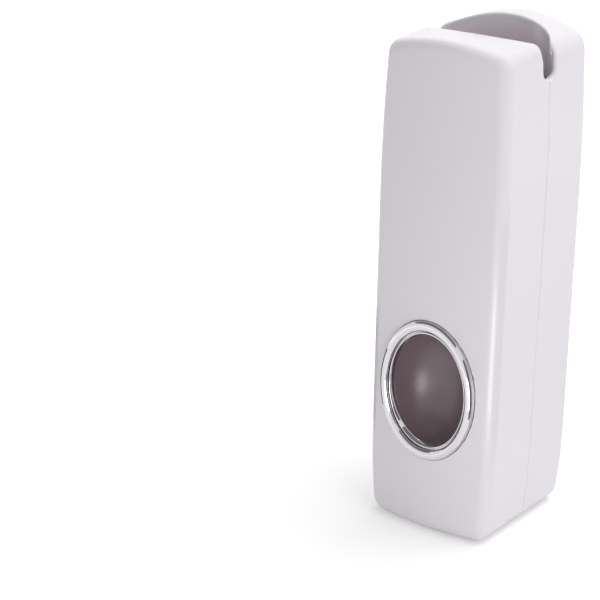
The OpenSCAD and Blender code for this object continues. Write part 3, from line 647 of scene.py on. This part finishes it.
steel = finish_material(
    "steel", (0.42, 0.42, 0.43), (0.5, 0.5, 0.51), rough=0.28, scale=90, bump=0.06, Metallic=1.0
)
foam = finish_material("foam", (0.45, 0.49, 0.46), (0.5, 0.54, 0.51), rough=0.85, scale=140, bump=0.6)

FINISH = {
    "white_abs": white,
    "chrome_trim": chrome,
    "smoke_cup": smoke,
    "inner_plastic": inner,
    "grey_silicone": grey_soft,
    "clear_silicone": clear_soft,
    "red_silicone": red_soft,
    "steel": steel,
    "foam": foam,
}


def dress(obj, mat):
    obj.data.materials.clear()
    obj.data.materials.append(mat)


for part in frame["record"]["subparts"]:
    name = part["node"]
    slot_name = part["material_slot"]
    if name in SKINS:
        piece, body = SKINS[name]
        dress(piece, FINISH[slot_name])
        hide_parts(name)
        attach(piece, body)
    else:
        node = nodes[name]
        dress(node, FINISH[slot_name])
        node.data.shade_smooth()
        node.data.set_sharp_from_angle(angle=FLAT_EDGE)

# Floor, lit round the object and white for the eye further away
NEAR = 0.18
FAR = 0.7
NEAR_GLOW = 0.27
FAR_GLOW = 0.8
FLOOR_DARK = (0.89, 0.89, 0.89, 1)
FLOOR_LIGHT = (0.91, 0.91, 0.91, 1)
FLOOR_SIZE = 8
FLOOR_Z = -0.0001
floor_mat, floor_tree, floor_shader = new_material("floor")
floor_noise = floor_tree.nodes.new("ShaderNodeTexNoise")
floor_noise.inputs["Scale"].default_value = 3
floor_ramp = floor_tree.nodes.new("ShaderNodeValToRGB")
floor_ramp.color_ramp.elements[0].color = FLOOR_DARK
floor_ramp.color_ramp.elements[1].color = FLOOR_LIGHT
floor_tree.links.new(floor_noise.outputs["Fac"], floor_ramp.inputs["Fac"])
floor_tree.links.new(floor_ramp.outputs["Color"], floor_shader.inputs["Base Color"])
floor_shader.inputs["Roughness"].default_value = 0.9
floor_shader.inputs["Specular IOR Level"].default_value = 0.0
floor_shader.inputs["Emission Color"].default_value = (1, 1, 1, 1)


def eye_rays(tree):
    """A socket that is 1 for rays from the eye, or from what mirrors or bends them."""
    path = tree.nodes.new("ShaderNodeLightPath")
    first = tree.nodes.new("ShaderNodeMath")
    first.operation = "MAXIMUM"
    tree.links.new(path.outputs["Is Camera Ray"], first.inputs[0])
    tree.links.new(path.outputs["Is Glossy Ray"], first.inputs[1])
    second = tree.nodes.new("ShaderNodeMath")
    second.operation = "MAXIMUM"
    tree.links.new(first.outputs["Value"], second.inputs[0])
    tree.links.new(path.outputs["Is Transmission Ray"], second.inputs[1])
    return second.outputs["Value"]


floor_coords = floor_tree.nodes.new("ShaderNodeTexCoord")
away = floor_tree.nodes.new("ShaderNodeVectorMath")
away.operation = "LENGTH"
floor_tree.links.new(floor_coords.outputs["Object"], away.inputs[0])
fade = floor_tree.nodes.new("ShaderNodeMapRange")
fade.inputs["From Min"].default_value = NEAR
fade.inputs["From Max"].default_value = FAR
fade.inputs["To Min"].default_value = NEAR_GLOW
fade.inputs["To Max"].default_value = FAR_GLOW
floor_tree.links.new(away.outputs["Value"], fade.inputs["Value"])
for_eye = floor_tree.nodes.new("ShaderNodeMath")
for_eye.operation = "MULTIPLY"
floor_tree.links.new(fade.outputs["Result"], for_eye.inputs[0])
floor_tree.links.new(eye_rays(floor_tree), for_eye.inputs[1])
floor_tree.links.new(for_eye.outputs["Value"], floor_shader.inputs["Emission Strength"])
bpy.ops.mesh.primitive_plane_add(size=FLOOR_SIZE, location=(0, 0, FLOOR_Z))
floor = bpy.context.object
floor.name = "floor"
dress(floor, floor_mat)

# Surroundings: white where they are seen or mirrored, softer as a light
SKY_LIGHT = 0.45
world = bpy.data.worlds.new("surroundings")
scene.world = world
world.use_nodes = True
wtree = world.node_tree
background = wtree.nodes["Background"]
background.inputs["Color"].default_value = (1, 1, 1, 1)
glow = wtree.nodes.new("ShaderNodeMapRange")
glow.inputs["To Min"].default_value = SKY_LIGHT
glow.inputs["To Max"].default_value = 1.0
wtree.links.new(eye_rays(wtree), glow.inputs["Value"])
wtree.links.new(glow.outputs["Result"], background.inputs["Strength"])


def facing(obj, place, aim):
    obj.location = place
    obj.rotation_euler = (Vector(aim) - Vector(place)).to_track_quat("-Z", "Y").to_euler()


def soft_light(name, place, aim, wide, tall, power, mirrored_too=False):
    data = bpy.data.lights.new(name, "AREA")
    data.shape = "RECTANGLE"
    data.size = wide
    data.size_y = tall
    data.energy = power
    lamp = bpy.data.objects.new(name, data)
    scene.collection.objects.link(lamp)
    facing(lamp, place, aim)
    lamp.visible_glossy = mirrored_too
    return lamp


MIDDLE = (0, 0, 0.1)
soft_light("above", place=(0.15, 0.25, 1.1), aim=MIDDLE, wide=0.9, tall=0.9, power=7.9)
soft_light("right", place=(1.05, -0.35, 0.5), aim=MIDDLE, wide=0.7, tall=0.9, power=1.9)
soft_light("low", place=(0.15, -0.24, 0.03), aim=(0, 0, 0.04), wide=0.2, tall=0.05, power=0.1)
strip = soft_light(
    "strip",
    place=(0.1, -0.085, 0.035),
    aim=(-0.012, -0.02, 0.05),
    wide=0.07,
    tall=0.06,
    power=0.055,
    mirrored_too=True,
)
strip.visible_diffuse = False


def card(name, mat, place, aim, wide, tall):
    """A board that only shows as a streak in the chrome."""
    bpy.ops.mesh.primitive_plane_add(size=1)
    board = bpy.context.object
    board.name = name
    board.scale = (wide, tall, 1)
    facing(board, place, aim)
    dress(board, mat)
    board.visible_camera = False
    board.visible_diffuse = False
    board.visible_shadow = False


black_card = finish_material("black_card", (0.02, 0.02, 0.02), (0.04, 0.04, 0.04), rough=0.9)
grey_card = finish_material("grey_card", (0.24, 0.23, 0.24), (0.28, 0.27, 0.28), rough=0.9)
card("card_top", grey_card, place=(-0.08, -0.15, 0.34), aim=(-0.08, -0.15, 0), wide=0.7, tall=0.4)
card("card_right", grey_card, place=(0.085, -0.005, 0.045), aim=(0, -0.005, 0.045), wide=0.11, tall=0.12)
card("card_left", black_card, place=(-0.09, -0.017, 0.03), aim=(0, -0.017, 0.03), wide=0.075, tall=0.05)

scene.view_settings.view_transform = "Standard"
